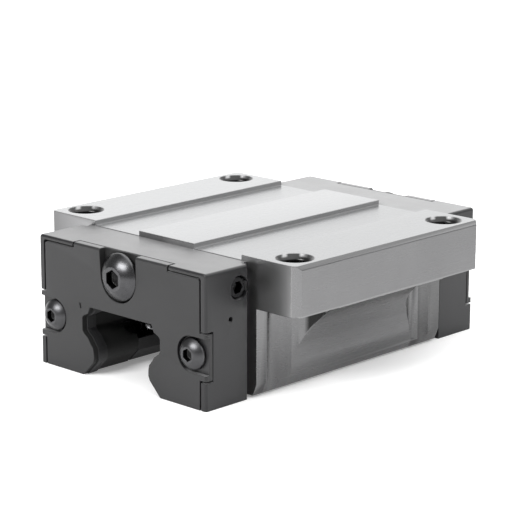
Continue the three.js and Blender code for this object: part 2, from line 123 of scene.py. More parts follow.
GAP = 0.3
BEYOND = 1  # how far a cutter reaches past the surface it cuts
BODY_BEVEL = 0.14
CAP_BEVEL = 0.12
PLATE_BEVEL = 0.1
STRIP_BEVEL = 0.08
SCREW_BEVEL = 0.07
PLUG_BEVEL = 0.05
GUIDE_BEVEL = 0.05
LIP_BEVEL = 0.04
SIDES = (("left", -1), ("right", 1))

BODY_LOW, BODY_HIGH = corners_of("carriage_body")
BODY_BOTTOM = BODY_LOW[2]
PAD_TOP = BODY_HIGH[2]
BODY_HALF_LENGTH = BODY_HIGH[1]
FLANGE_HALF_WIDTH = BODY_HIGH[0]
STRIP_TOP = 24.1
CENTRE_PAD_HALF_WIDTH = 7
SIDE_PAD_INNER_X = 18.5
FLANGE_EDGE_CHAMFER = 0.7
FLANGE_CORNER_CHAMFER = 1.3
SCREW_HOLE_DEPTH = 6
BODY_SIDE_X = 22.2
BOTTOM_CHAMFER_WIDTH = 0.9
BOTTOM_CHAMFER_HEIGHT = 2.2
SWEEP_RADIUS = 11.8
SWEEP_CENTRE_Z = 4.4
FLANGE_UNDERSIDE = 16
CEILING_Z = 14
CEILING_HALF_WIDTH = 5.4

HOLE_X = 26.5
HOLE_Y = 20
THREAD_CREST_RADIUS = 2.5
THREAD_ROOT_RADIUS = 3.0
THREAD_PITCH = 1.0
COUNTERSINK_RADIUS = 3.4
THREAD_TOP = PAD_TOP - (COUNTERSINK_RADIUS - THREAD_CREST_RADIUS)
OUTER_RELIEF = dict(x=26.6, y=20, radius=4.9)
INNER_RELIEF = dict(x=27.2, y=17, radius=5.1)

UPPER_RACEWAY = section_middle_of("upper_loaded_balls_right")
LOWER_RACEWAY = section_middle_of("lower_loaded_balls_right")
UPPER_RETURN = section_middle_of("upper_return_tube_right")
LOWER_RETURN = section_middle_of("lower_return_tube_right")
CIRCUITS = (("upper", UPPER_RACEWAY, UPPER_RETURN), ("lower", LOWER_RACEWAY, LOWER_RETURN))
RETURN_TUBE_RADIUS = size_of("upper_return_tube_right")[0] / 2
BALL_DIAMETER, STRAND_LENGTH = size_of("upper_loaded_balls_right")[:2]
BALLS_PER_STRAND = 11
BALL_PITCH = round((STRAND_LENGTH - BALL_DIAMETER) / (BALLS_PER_STRAND - 1), 3)
CHANNEL_RADIUS = 2.25
GROOVE_LIP_ANGLE = 8
RETAINER_RADIUS = 2.3
RETAINER_WALL_X = 12.4
LEG_INNER_X = 10.6

CAP_LOW, CAP_HIGH = corners_of("front_end_cap")
CAP_HALF_WIDTH = CAP_HIGH[0]
CAP_TOP = CAP_HIGH[2]
CAP_FRONT_Y = CAP_LOW[1]
CAP_SEAM = 0.05
CAP_REAR_Y = -(BODY_HALF_LENGTH + CAP_SEAM)
CAP_NECK_DEPTH = 1.2
CAP_NECK_INSET = 1.2
CAP_CORNER = 0.6
CAP_EDGE_ROUND = 0.45

PLATE_THICKNESS = size_of("front_plate")[1]
PLATE_HALF_WIDTH = 19.65
PLATE_SHOULDER_Z = 22.9
PLATE_RAISED_HALF_WIDTH = 11.9
PLATE_CORNER = 0.5
PLATE_SEAM = 0.3
PLATE_BACK_SEAM = 0.14
EAR_LOW_Z = 5.3
EAR_HIGH_Z = 13.5
POCKET_DEPTH = 0.9
PLUG_POCKET_DEPTH = 1.4

SEAL_WIDTH, SEAL_THICKNESS, SEAL_TOP = size_of("front_wiper_seal")
SEAL_CORNER = 1.5
SEAL_BOTTOM = 0.3
LIP_REACH = 0.9
LIP_INNER = -0.3
LIP_OUTER = -0.03
SHEET_INNER = -0.25

HEAD_SEAT_Y = -35.2


def button_head(node, shift, radius, socket, pitch):
    """Sizes of a screw: place, head and length as in the CAD, the rest given."""
    low, high = corners_of(node)
    x, _, z = middle_of(node)
    return dict(
        x=x + shift,
        z=z,
        radius=radius,
        head=size_of(node)[2] / 2,
        height=round(HEAD_SEAT_Y - low[1], 3),
        socket=socket,
        pitch=pitch,
        length=round(high[1] - HEAD_SEAT_Y, 3),
    )


PLATE_SCREW = button_head("front_plate_screw_right", 0, 1.5, 2, 0.5)
PLUG_SCREW = button_head("front_lube_plug_screw", -0.4, 2.5, 3, 0.8)
PLATE_POCKET_RADIUS = 3.2
PLUG_POCKET_RADIUS = 4.47
PLUG_POCKET_DRAFT = 0.35
PORT_OUTER_X = corners_of("front_port_plug_right")[1][0]
PORT_Y, PORT_Z = middle_of("front_port_plug_right")[1:]
PORT_LENGTH, PORT_DIAMETER = size_of("front_port_plug_right")[:2]
PORT_RADIUS = PORT_DIAMETER / 2
PORT_PITCH = 0.7
PORT_SOCKET = 2
PORT_SOCKET_DEPTH = 1.5
PORT_DEPTH = 5
PIN_Y = -30.1
PIN_Z = 15.1
PIN_RADIUS = 0.45
PIN_DEPTH = 3
GATE_MARK = (-10.4, 12.7)
GATE_MARK_DEPTH = 0.25
PLUG_HOLE_END_Y = -26.5
GALLERY_RADIUS = 1
GUIDE_DRUM_HALF_LENGTH = 2.6
GUIDE_WEB_X = (12.3, 13.8)
GUIDE_WEB_Z = (5, 14)
GUIDE_WEB_DEPTH = 1.8

# -------------------- mesh kit, in millimetres


def arc(centre, radius, start, end, steps):
    """Points [x, z] round part of a circle, angles in degrees."""
    turns = [math.radians(start + (end - start) * i / steps) for i in range(steps + 1)]
    return [(centre[0] + radius * math.cos(a), centre[1] + radius * math.sin(a)) for a in turns]


def both_sides(half):
    """A right-hand half outline and its mirror image, as one closed outline."""
    return [*half, *[(-x, z) for x, z in reversed(half)]]


def on_side(points, side):
    return [(side * x, z) for x, z in points]


def extruded(near, far):
    """A closed solid between two outlines with equally many points."""
    bm = bmesh.new()
    near = [bm.verts.new(point) for point in near]
    far = [bm.verts.new(point) for point in far]
    bm.faces.new(near)
    bm.faces.new(far[::-1])
    for i, vert in enumerate(near):
        j = (i + 1) % len(near)
        bm.faces.new((vert, far[i], far[j], near[j]))
    bmesh.ops.recalc_face_normals(bm, faces=bm.faces)
    return bm


def prism(points, low, high):
    """A closed outline of [x, z] points, drawn out along Y."""
    return extruded([(x, low, z) for x, z in points], [(x, high, z) for x, z in points])


def column(points, low, high):
    """A closed outline of [x, y] points, drawn upwards."""
    return extruded([(x, y, low) for x, y in points], [(x, y, high) for x, y in points])


def looped(rings):
    """A closed surface through rings of points, the last ring joined to the first."""
    bm = bmesh.new()
    rings = [[bm.verts.new(point) for point in ring] for ring in rings]
    for ring, following in zip(rings, rings[1:] + rings[:1]):
        for i, vert in enumerate(ring):
            j = (i + 1) % len(ring)
            bm.faces.new((vert, ring[j], following[j], following[i]))
    bmesh.ops.recalc_face_normals(bm, faces=bm.faces)
    return bm


def circle(radius, segments):
    turns = [2 * math.pi * i / segments for i in range(segments)]
    return [(radius * math.cos(a), radius * math.sin(a)) for a in turns]


def rounded(bm, test, width):
    """Rounds the edges whose both ends pass the test."""
    edges = [e for e in bm.edges if test(e.verts[0].co) and test(e.verts[1].co)]
    bmesh.ops.bevel(bm, geom=edges, offset=width, segments=4, profile=0.5, affect="EDGES")
    return bm


def box(low, high):
    bm = bmesh.new()
    size = Vector(high) - Vector(low)
    middle = (Vector(high) + Vector(low)) / 2
    matrix = Matrix.Translation(middle) @ Matrix.Diagonal((*size, 1))
    bmesh.ops.create_cube(bm, size=1, matrix=matrix)
    return bm


def rod(radius, start, end, segments=48):
    """A closed cylinder from start to end."""
    start, end = Vector(start), Vector(end)
    along = end - start
    turn = along.to_track_quat("Z", "Y").to_matrix().to_4x4()
    bm = bmesh.new()
    bmesh.ops.create_cone(
        bm,
        cap_ends=True,
        segments=segments,
        radius1=radius,
        radius2=radius,
        depth=along.length,
        matrix=Matrix.Translation((start + end) / 2) @ turn,
    )
    return bm


def screw_hole(screw, side, low, high):
    """Room for the shank of a screw, along Y."""
    x, z = side * screw["x"], screw["z"]
    return rod(screw["radius"] + GAP, (x, low, z), (x, high, z))


def lathe(profile, matrix, segments=48):
    """A profile of (radius, height) points that starts and ends on the axis, turned about local Z."""
    bm = bmesh.new()
    rings = []
    for radius, height in profile:
        points = circle(radius, segments) if radius else [(0, 0)]
        rings.append([bm.verts.new(matrix @ Vector((x, y, height))) for x, y in points])
    for lower, upper in zip(rings, rings[1:]):
        for i in range(segments):
            j = (i + 1) % segments
            corners = ((lower, i), (lower, j), (upper, j), (upper, i))
            unique = list(dict.fromkeys(ring[k % len(ring)] for ring, k in corners))
            if len(unique) > 2:
                bm.faces.new(unique)
    bmesh.ops.recalc_face_normals(bm, faces=bm.faces)
    return bm


def repeated(profile, start, end, pitch):
    """(radius, height) points of a thread drawn as rings, once every pitch."""
    points = []
    while start < end:
        points += [(radius, start + height) for radius, height in profile]
        start += pitch
    return points


def merged(parts):
    """Several bmeshes as one, without joining their surfaces."""
    whole = bmesh.new()
    for part in parts:
        mesh = bpy.data.meshes.new("part")
        part.to_mesh(mesh)
        part.free()
        whole.from_mesh(mesh)
        bpy.data.meshes.remove(mesh)
    return whole


def discard(thing):
    mesh = thing.data
    bpy.data.objects.remove(thing)
    bpy.data.meshes.remove(mesh)


def temporary(bm, collection):
    mesh = bpy.data.meshes.new("temporary")
    bm.to_mesh(mesh)
    bm.free()
    thing = bpy.data.objects.new("temporary", mesh)
    collection.objects.link(thing)
    return thing


def evaluated(thing):
    """The object's mesh after its modifiers, as a bmesh. The object is deleted."""
    graph = bpy.context.evaluated_depsgraph_get()
    graph.update()
    source = thing.evaluated_get(graph)
    bm = bmesh.new()
    bm.from_mesh(source.to_mesh())
    source.to_mesh_clear()
    discard(thing)
    return bm


def boolean(base, tools, operation):
    """base with the tools cut out of it, or joined to it."""
    blank = temporary(base, SCENE.collection)
    shelf = bpy.data.collections.new("tools")
    SCENE.collection.children.link(shelf)
    helpers = [temporary(tool, shelf) for tool in tools]
    modifier = blank.modifiers.new("boolean", "BOOLEAN")
    modifier.operation = operation
    modifier.solver = "EXACT"
    modifier.operand_type = "COLLECTION"
    modifier.collection = shelf
    result = evaluated(blank)
    for helper in helpers:
        discard(helper)
    bpy.data.collections.remove(shelf)
    bmesh.ops.remove_doubles(result, verts=result.verts, dist=0.0005)
    bmesh.ops.dissolve_limit(
        result, angle_limit=math.radians(0.4), verts=result.verts, edges=result.edges
    )
    return result


def carve(base, cutters):
    return boolean(base, cutters, "DIFFERENCE")


def joined(base, others):
    return boolean(base, others, "UNION")


def add_bevel(thing, width, angle):
    modifier = thing.modifiers.new("bevel", "BEVEL")
    modifier.width = width
    modifier.segments = 2
    modifier.limit_method = "ANGLE"
    modifier.angle_limit = math.radians(angle)
    return modifier


def bevelled(bm, width, angle=32):
    """Rounds every edge sharper than angle, and keeps the result inside the old box."""
    low = [min(v.co[i] for v in bm.verts) for i in range(3)]
    high = [max(v.co[i] for v in bm.verts) for i in range(3)]
    thing = temporary(bm, SCENE.collection)
    add_bevel(thing, width, angle).use_clamp_overlap = False
    result = evaluated(thing)
    for vert in result.verts:
        for i in range(3):
            vert.co[i] = min(max(vert.co[i], low[i]), high[i])
    return result


def piece(name, bm, material, node, turned=False, body="carriage"):
    """A finished mesh in metres that rides on a body and stands for a CAD node."""
    if turned:
        bmesh.ops.rotate(bm, verts=bm.verts, matrix=Matrix.Rotation(math.pi, 3, "Z"))
    bmesh.ops.scale(bm, verts=bm.verts, vec=(MM, MM, MM))
    mesh = bpy.data.meshes.new(name)
    bm.to_mesh(mesh)
    bm.free()
    mesh.materials.append(material)
    mesh.shade_smooth()
    mesh.set_sharp_from_angle(angle=math.radians(40))
    thing = bpy.data.objects.new(name, mesh)
    SCENE.collection.objects.link(thing)
    normals = thing.modifiers.new("normals", "WEIGHTED_NORMAL")
    normals.keep_sharp = True
    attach(thing, body)
    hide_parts(node)


# -------------------- materials


class Tree:
    """Short calls for building a node tree."""

    def __init__(self, tree):
        self.tree = tree

    def put(self, socket, value):
        """Links an output to the socket, or sets the socket to a number, colour or vector."""
        if isinstance(value, bpy.types.NodeSocket):
            self.tree.links.new(value, socket)
        else:
            socket.default_value = value

    def add(self, kind, inputs=None, **settings):
        """A new node; its inputs are filled by name or number."""
        node = self.tree.nodes.new("ShaderNode" + kind)
        for name, value in settings.items():
            setattr(node, name, value)
        for name, value in (inputs or {}).items():
            self.put(node.inputs[name], value)
        return node

    def ramp(self, value, low, high, to_low, to_high, shape="LINEAR"):
        """to_low up to low, to_high from high on, and a slope between them."""
        inputs = {"Value": value, "From Min": low, "From Max": high, "To Min": to_low, "To Max": to_high}
        return self.add("MapRange", inputs, interpolation_type=shape).outputs["Result"]

    def math(self, operation, first, second=0):
        return self.add("Math", {0: first, 1: second}, operation=operation).outputs[0]

    def blend(self, factor, first, second):
        """The number first where factor is 0 and second where it is 1."""
        return self.add("Mix", {"Factor": factor, "A": first, "B": second}).outputs["Result"]


class Nodes(Tree):
    """The node tree of a new material."""

    def __init__(self, name):
        self.material = bpy.data.materials.new(name)
        self.material.use_nodes = True
        super().__init__(self.material.node_tree)
        self.shader = self.tree.nodes["Principled BSDF"]
        place = self.add("TexCoord").outputs["Object"]
        scale = self.add("VectorMath", {0: place, "Scale": 1 / MM}, operation="SCALE")
        self.place = scale.outputs[0]  # position in millimetres

    def set(self, **values):
        for key, value in values.items():
            self.shader.inputs[key.replace("_", " ")].default_value = value

    def stretched(self, x, y, z):
        return self.add("VectorMath", {0: self.place, 1: (x, y, z)}, operation="MULTIPLY").outputs[0]

    def noise(self, scale, detail=3.0, roughness=0.5, place=None):
        inputs = {"Vector": place or self.place, "Scale": scale, "Detail": detail, "Roughness": roughness}
        return self.add("TexNoise", inputs).outputs["Fac"]

    def rise(self, value, low, high):
        return self.ramp(value, low, high, 0, 1)

    def fall(self, value, low, high):
        return self.ramp(value, low, high, 1, 0)

    def times(self, first, *others):
        for other in others:
            first = self.math("MULTIPLY", first, other)
        return first

    def absolute(self, value):
        return self.math("ABSOLUTE", value)

    def squares(self, first, second):
        """The squared distance that two coordinates give."""
        return self.math("ADD", self.times(first, first), self.times(second, second))

    def mix(self, factor, first, second):
        """Colour first where factor is 0 and second where it is 1."""
        node = self.add("Mix", data_type="RGBA")
        for name, value in (("Factor", factor), ("A", first), ("B", second)):
            self.put(node.inputs[name], (*value, 1) if isinstance(value, tuple) else value)
        return node.outputs["Result"]

    def axes(self, vector):
        return self.add("SeparateXYZ", {0: vector}).outputs[:]

    def normal(self):
        return self.add("NewGeometry").outputs["True Normal"]

    def wear(self, low=0.52, high=0.6):
        """Near 1 on convex edges."""
        return self.rise(self.add("NewGeometry").outputs["Pointiness"], low, high)

    def colour(self, output):
        self.put(self.shader.inputs["Base Color"], output)

    def rough(self, output):
        self.put(self.shader.inputs["Roughness"], output)

    def bump(self, value, distance):
        node = self.add("Bump", {"Height": value, "Distance": distance * MM, "Strength": 1.0})
        self.put(self.shader.inputs["Normal"], node.outputs["Normal"])


# The hollow, rear relief and land tints are darker copies of the same steel: painted shade.
FLANGE_STEEL = ((0.145, 0.145, 0.147), (0.172, 0.172, 0.174))
HOLLOW_SHADE_STEEL = ((0.13, 0.13, 0.132), (0.154, 0.154, 0.156))
RELIEF_STEEL = ((0.135, 0.135, 0.137), (0.152, 0.152, 0.154))
REAR_RELIEF_SHADE_STEEL = ((0.055, 0.055, 0.056), (0.115, 0.115, 0.116))
LAND_SHADE_STEEL = ((0.067, 0.067, 0.068), (0.112, 0.112, 0.113))
END_SHADE_TO_LIGHT_STEEL = ((0.14, 0.14, 0.142), (0.34, 0.34, 0.343))
STRIP_STEEL = ((0.345, 0.35, 0.355), (0.39, 0.395, 0.40))
PAD_STEEL = ((0.36, 0.365, 0.37), (0.42, 0.425, 0.43))
SINK_SHADE_AND_HIGHLIGHT_STEEL = ((0.04, 0.04, 0.04), (0.42, 0.42, 0.425))
THREAD_SHADE_STEEL = ((0.025, 0.025, 0.025), (0.045, 0.045, 0.045))
RELIEF_SHADE_STEEL = (0.02, 0.02, 0.02)
CHAMFER_SHADE_STEEL = (0.105, 0.105, 0.106)
RIM_HIGHLIGHT_STEEL = (0.21, 0.21, 0.212)
STEP_WALL_LIGHT_STEEL = (0.33, 0.33, 0.333)
WORN_STEEL = (0.45, 0.45, 0.455)
PAINTED_LIGHT_STEEL = (0.9, 0.9, 0.9)
BLACK = (0.0, 0.0, 0.0)
RELIEF_START_Y = 16.6
LAND_START_Y = 22.5
RIM_HIGHLIGHT_SHARE = 0.8
SHADE_SHARE = 0.17
WEAR_SHARE = 0.25
TOOL_MARKS = 7
SINK_ACROSS, SINK_ALONG = 0.72, 0.69


class BodySteel(Nodes):
    """The body's surface, told apart by place and by the way it faces. Masks run from 0 to 1."""

    def __init__(self):
        super().__init__("ground_steel")
        self.set(Metallic=1.0)
        self.x, self.y, self.z = self.axes(self.place)
        self.aside = self.absolute(self.x)
        self.along = self.absolute(self.y)
        _, normal_y, self.upward = self.axes(self.normal())
        self.endward = self.absolute(normal_y)
        self.facing_up = self.rise(self.upward, 0.9, 0.98)
        self.facing_end = self.rise(self.endward, 0.97, 0.995)
        self.below_flange = self.fall(self.z, FLANGE_UNDERSIDE - 0.1, FLANGE_UNDERSIDE + 0.1)
        self.rear = self.rise(self.y, -1, 1)
        self.clouds = self.noise(0.12, 3)
        along_rail = self.noise(1.0, 4, 0.6, self.stretched(TOOL_MARKS, 0.1, TOOL_MARKS))
        across_rail = self.noise(1.0, 4, 0.6, self.stretched(0.1, TOOL_MARKS, TOOL_MARKS))
        self.lines = self.blend(self.facing_end, along_rail, across_rail)

    def side(self):
        """Flange edges and hollow sides, with the reliefs and the flat lands near the ends; painted shade
        darkens the hollow, the rear reliefs and the lands, and painted shade and highlights mark some edges.
        """
        flange = self.mix(self.clouds, *FLANGE_STEEL)
        hollow = self.mix(self.clouds, *HOLLOW_SHADE_STEEL)
        colour = self.mix(self.below_flange, flange, hollow)
        middle = OUTER_RELIEF["y"]
        front_relief = self.mix(self.rise(self.along, middle - 0.5, middle + 0.5), *RELIEF_STEEL)
        rear_relief = self.mix(self.rise(self.y, middle - 1.5, middle), *REAR_RELIEF_SHADE_STEEL)
        near_end = self.rise(self.along, RELIEF_START_Y, RELIEF_START_Y + 0.6)
        relief = self.times(near_end, self.below_flange)
        colour = self.mix(relief, colour, self.mix(self.rear, front_relief, rear_relief))
        past_relief = self.rise(self.along, LAND_START_Y - 0.1, LAND_START_Y + 0.1)
        land = self.times(past_relief, self.below_flange)
        colour = self.mix(land, colour, self.mix(self.rear, *LAND_SHADE_STEEL))
        # Painted shade beside the lands.
        colour = self.mix(self.shade_beside_land(), colour, RELIEF_SHADE_STEEL)
        # Painted highlight along the lowest edge of the flange.
        colour = self.mix(self.flange_rim_highlight(), colour, RIM_HIGHLIGHT_STEEL)
        return self.mix(self.flange_chamfer_shade(), colour, CHAMFER_SHADE_STEEL)

    def shade_beside_land(self):
        """Painted shade on the stretch of a relief just before its land, darkest under the flange."""
        return self.times(
            self.rise(self.along, LAND_START_Y - 1.5, LAND_START_Y - 0.6),
            self.fall(self.along, LAND_START_Y - 0.1, LAND_START_Y + 0.1),
            self.ramp(self.z, 0, FLANGE_UNDERSIDE - 2, 0.15, 0.85),
            self.below_flange,
            self.ramp(self.y, -1, 1, 1, 0.1),
        )

    def flange_rim_highlight(self):
        """A painted highlight along the lowest edge of the flange, where a relief cuts it."""
        return self.times(
            self.rise(self.z, FLANGE_UNDERSIDE - 0.3, FLANGE_UNDERSIDE - 0.2),
            self.fall(self.z, FLANGE_UNDERSIDE + 0.25, FLANGE_UNDERSIDE + 0.35),
            self.ramp(self.aside, FLANGE_HALF_WIDTH - 0.6, FLANGE_HALF_WIDTH - 0.4, 0, RIM_HIGHLIGHT_SHARE),
        )

    # Painted dark reflection on the chamfer along the top edge of the flange.
    def flange_chamfer_shade(self):
        return self.times(
            self.rise(self.upward, 0.3, 0.5),
            self.fall(self.upward, 0.85, 0.95),
            self.rise(self.aside, FLANGE_HALF_WIDTH - 1.1, FLANGE_HALF_WIDTH - 0.8),
        )

    def end(self):
        """The end faces, with painted light making them lighter towards +X and beside the caps."""
        colour = self.mix(self.rise(self.x, -FLANGE_HALF_WIDTH, FLANGE_HALF_WIDTH), *END_SHADE_TO_LIGHT_STEEL)
        painted_light_beside_cap = self.ramp(self.x, CAP_HALF_WIDTH - 3, CAP_HALF_WIDTH + 6, 0.3, 0)
        return self.mix(self.times(self.rise(self.x, -1, 1), painted_light_beside_cap), colour, PAINTED_LIGHT_STEEL)

    def relief_wall_shade(self):
        """Painted shade on the round walls of the reliefs, as far as they turn towards the ends."""
        rear_relief = self.times(self.rise(self.y, 5, 6), self.fall(self.y, 18, 19))
        rear_wall = self.times(self.rise(self.endward, 0.15, 0.35), rear_relief)
        curved = self.math("MAXIMUM", self.rise(self.endward, 0.62, 0.74), rear_wall)
        return self.times(curved, self.fall(self.endward, 0.985, 0.995), self.below_flange)

    def step(self):
        """The low walls between the strips and the pads, painted lighter than the other steel walls as
        painted light.
        """
        return self.times(
            self.rise(self.z, STRIP_TOP, STRIP_TOP + 0.05),
            self.fall(self.aside, FLANGE_HALF_WIDTH - 2, FLANGE_HALF_WIDTH - 1.5),
            self.fall(self.endward, 0.4, 0.6),
        )

    def pad(self):
        return self.times(self.rise(self.z, PAD_TOP - 0.4, PAD_TOP - 0.2), self.facing_up)

    def ground(self, tints):
        """Steel ground along the rail, with painted shade making it a little darker towards +X."""
        shade = self.ramp(self.x, 0, SIDE_PAD_INNER_X, 0, SHADE_SHARE)
        return self.mix(shade, self.mix(self.lines, *tints), BLACK)

    def from_hole(self):
        """Distances across and along from the nearest fixing hole."""
        return [
            self.math("SUBTRACT", value, self.times(self.math("SIGN", value), centre))
            for value, centre in ((self.x, HOLE_X), (self.y, HOLE_Y))
        ]

    def in_hole(self):
        rim = COUNTERSINK_RADIUS ** 2
        return self.fall(self.squares(*self.from_hole()), rim * 0.93, rim * 1.02)

    def countersink(self):
        return self.times(self.in_hole(), self.rise(self.z, THREAD_TOP, THREAD_TOP + 0.1))

    def thread(self):
        return self.times(self.in_hole(), self.fall(self.z, THREAD_TOP + 0.05, THREAD_TOP + 0.25))

    def sink_highlights(self):
        """The two painted highlights of a countersink; the rest of it is painted dark as shade."""
        across, along = self.from_hole()
        sideways = self.math("ADD", self.times(across, SINK_ACROSS), self.times(along, SINK_ALONG))
        right = self.times(self.rise(sideways, 0.7, 1.2), self.ramp(sideways, 1.6, 2.4, 1, 0.2))
        left = self.times(self.ramp(sideways, -2.3, -1.9, 0, 0.6), self.fall(sideways, -1.5, -1.1))
        high = self.rise(self.z, PAD_TOP - 0.6, PAD_TOP - 0.35)
        return self.times(self.math("MAXIMUM", right, left), high)


def steel_material():
    """Satin sides off the milling cutter, and bright pads ground along the rail, with shade and highlights
    painted into the colour.
    """
    n = BodySteel()
    pad = n.pad()
    colour = n.mix(n.facing_end, n.side(), n.end())
    # Painted shade on the round walls of the reliefs.
    colour = n.mix(n.relief_wall_shade(), colour, RELIEF_SHADE_STEEL)
    colour = n.mix(n.step(), colour, STEP_WALL_LIGHT_STEEL)
    # Countersinks: painted highlights over painted shade.
    colour = n.mix(n.countersink(), colour, n.mix(n.sink_highlights(), *SINK_SHADE_AND_HIGHLIGHT_STEEL))
    colour = n.mix(n.facing_up, colour, n.ground(STRIP_STEEL))
    colour = n.mix(pad, colour, n.ground(PAD_STEEL))
    colour = n.mix(n.times(n.wear(0.54, 0.62), WEAR_SHARE), colour, WORN_STEEL)
    # Painted shade: the threads down in the holes are painted dark.
    n.colour(n.mix(n.thread(), colour, n.mix(n.clouds, *THREAD_SHADE_STEEL)))
    grain = n.times(n.math("SUBTRACT", n.lines, 0.5), n.ramp(n.facing_end, 0, 1, 1, 0.2))
    n.rough(n.math("ADD", n.ramp(grain, -0.2, 0.2, 0.25, 0.33), n.ramp(pad, 0, 1, 0, -0.03)))
    n.bump(grain, 0.004)
    return n.material


DUST_AND_SHEEN = ((0.145, 0.145, 0.147), (0.245, 0.245, 0.248))
OPENING_SHADE_BLACK = (0.008, 0.008, 0.008)
OPENING_ROUGHNESS = 0.3
RAIL_SPACE_HALF_WIDTH = 10.35
RAIL_SPACE_TOP = 13.1
POCKET_HALF_WIDTH = 5.3


def shade_in_opening(n):
    """1 inside the rail channel and the pocket of the plug, behind the front face, where shade is painted.
    """
    x, y, z = n.axes(n.place)
    aside = n.absolute(x)
    behind = n.fall(n.absolute(y), -CAP_FRONT_Y - 0.16, -CAP_FRONT_Y - 0.08)
    beside_rail = n.fall(aside, RAIL_SPACE_HALF_WIDTH, RAIL_SPACE_HALF_WIDTH + 0.15)
    channel = n.times(beside_rail, n.fall(z, RAIL_SPACE_TOP, RAIL_SPACE_TOP + 0.2))
    pocket_bottom = PLUG_SCREW["z"] - PLUG_POCKET_RADIUS
    pocket = n.times(
        n.fall(aside, POCKET_HALF_WIDTH, POCKET_HALF_WIDTH + 0.1),
        n.rise(z, pocket_bottom - 0.1, pocket_bottom),
        n.fall(z, CAP_TOP - 0.3, CAP_TOP - 0.15),
    )
    return n.times(behind, n.math("MAXIMUM", channel, pocket))


def plastic_material(name, dark, light, roughness, dust_and_sheen=0.0):
    """Moulded plastic with a fine grain, faint flow marks, dust and painted sheen on top, and painted shade
    in its openings.
    """
    n = Nodes(name)
    n.set(Metallic=0.0, IOR=1.4)
    flow = n.noise(0.18, 4, 0.6, n.stretched(1, 1, 2.2))
    fine = n.noise(7.0, 2)
    worn = tuple(c * 1.7 for c in light)
    colour = n.mix(n.times(n.wear(), 0.5), n.mix(flow, dark, light), worn)
    # Painted light: upward faces are painted lighter, as dust and sheen together, and more so towards the
    # rear end.
    along = n.ramp(n.axes(n.place)[1], CAP_FRONT_Y, -CAP_FRONT_Y, -0.5, 0.5)
    upward = n.ramp(n.axes(n.normal())[2], 0.85, 0.98, 0, dust_and_sheen)
    colour = n.mix(upward, colour, n.mix(n.math("ADD", flow, along), *DUST_AND_SHEEN))
    opening = shade_in_opening(n)
    # Painted shade: the openings are painted near black.
    n.colour(n.mix(opening, colour, OPENING_SHADE_BLACK))
    grain = n.ramp(fine, 0.3, 0.7, roughness - 0.05, roughness + 0.05)
    n.rough(n.math("ADD", grain, n.times(opening, OPENING_ROUGHNESS)))
    n.bump(fine, 0.012)
    return n.material


def rubber_material():
    n = Nodes("seal_rubber")
    n.set(Metallic=0.0, IOR=1.5)
    fine = n.noise(5.0, 4)
    n.colour(n.mix(fine, (0.006, 0.006, 0.007), (0.014, 0.014, 0.015)))
    n.rough(n.ramp(fine, 0.3, 0.7, 0.5, 0.65))
    n.bump(fine, 0.02)
    return n.material


SOCKET_SHADE_BLACK = (0.03, 0.03, 0.03)


def shade_in_socket(n):
    """1 inside the hexagon sockets of the screws on the cover plates, where shade is painted."""
    x, y, z = n.axes(n.place)
    outward = n.absolute(y)
    sockets = []
    for screw, across in (
        (PLUG_SCREW, n.times(x, n.math("SIGN", y))),
        (PLATE_SCREW, n.absolute(x)),
    ):
        top = screw["height"] - HEAD_SEAT_Y
        aside = n.math("SUBTRACT", across, abs(screw["x"]))
        above = n.math("SUBTRACT", z, screw["z"])
        rim = screw["socket"] ** 2 / 3
        inside = n.fall(n.squares(aside, above), rim * 0.98, rim * 1.05)
        sockets.append(n.times(inside, n.fall(outward, top - 0.25, top - 0.12)))
    return n.math("MAXIMUM", *sockets)


def screw_material(name, dark, light, worn):
    """Dark burnished steel, brighter where edges have rubbed, and duller low down."""
    n = Nodes(name)
    n.set(Metallic=1.0)
    stain = n.noise(0.9, 4, 0.6)
    fine = n.noise(9.0, 3)
    head = n.mix(n.times(n.wear(), 0.6), n.mix(stain, dark, light), worn)
    # Painted shade inside the sockets.
    n.colour(n.mix(shade_in_socket(n), head, SOCKET_SHADE_BLACK))
    lower = n.ramp(n.axes(n.place)[2], EAR_HIGH_Z, SEAL_TOP, 0.09, 0.02)
    n.rough(n.math("ADD", n.ramp(fine, 0.3, 0.7, 0.22, 0.30), lower))
    n.bump(fine, 0.003)
    return n.material


def ball_material():
    """Polished balls under a film of grease."""
    n = Nodes("ball_steel")
    n.set(Metallic=1.0)
    haze = n.noise(1.4, 3)
    n.colour(n.mix(haze, (0.20, 0.20, 0.21), (0.34, 0.34, 0.35)))
    n.rough(n.ramp(haze, 0.3, 0.7, 0.1, 0.2))
    return n.material


STEEL = steel_material()
CAP_PLASTIC = plastic_material("cap_plastic", (0.007, 0.007, 0.0075), (0.011, 0.011, 0.012), 0.33, 0.85)
PLATE_PLASTIC = plastic_material("plate_plastic", (0.009, 0.009, 0.0094), (0.013, 0.013, 0.0137), 0.40, 0.8)
BLACK_PLASTIC = plastic_material("retainer_plastic", (0.018, 0.018, 0.019), (0.028, 0.028, 0.030), 0.45)
RUBBER = rubber_material()
SCREW_STEEL = screw_material("screw_steel", (0.048, 0.048, 0.05), (0.075, 0.075, 0.078), (0.18, 0.18, 0.185))
PLUG_STEEL = screw_material("plug_steel", (0.02, 0.02, 0.021), (0.035, 0.035, 0.036), (0.09, 0.09, 0.092))
BALL_STEEL = ball_material()

# -------------------- steel body


